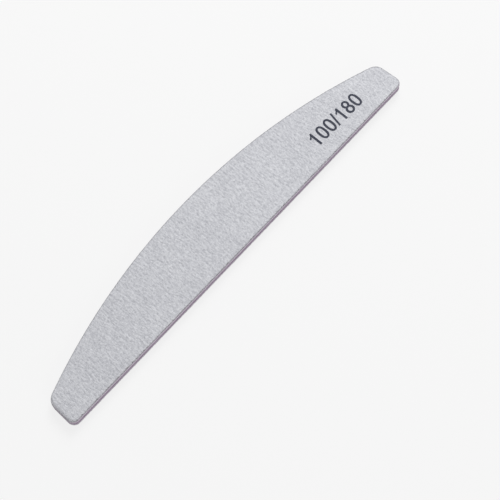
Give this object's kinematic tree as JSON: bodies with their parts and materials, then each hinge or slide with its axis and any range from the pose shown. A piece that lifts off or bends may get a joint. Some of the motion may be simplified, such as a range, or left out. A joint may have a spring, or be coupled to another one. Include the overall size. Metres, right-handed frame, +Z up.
{
  "type": "nail file",
  "caption": "Half-moon emery board for filing nails: a stiff core between foam layers, with a coarse abrasive sheet on one face and a fine one on the other.",
  "frame": {"origin": "under the middle of the board, on the surface that its fine face lies on: halfway along its length and halfway between the straight edge and the top of the curve", "axes": "+X along the length, +Y from the straight edge towards the curved edge, +Z up through the layers, from the fine face to the coarse, marked face"},
  "size_m": [0.178, 0.0286, 0.0041],
  "materials": {
    "coarse_coat": "matte",
    "fine_coat": "matte",
    "backing_paper": "matte",
    "adhesive": "satin",
    "foam": "matte",
    "core": "satin"
  },
  "bodies": {
    "root": {"grit_coat_100": "coarse_coat", "backing_paper_100": "backing_paper", "paper_adhesive_100": "adhesive", "foam_layer_100": "foam", "core_adhesive_100": "adhesive", "core_board": "core", "core_adhesive_180": "adhesive", "foam_layer_180": "foam", "paper_adhesive_180": "adhesive", "backing_paper_180": "backing_paper", "grit_coat_180": "fine_coat"}
  },
  "joints": []
}
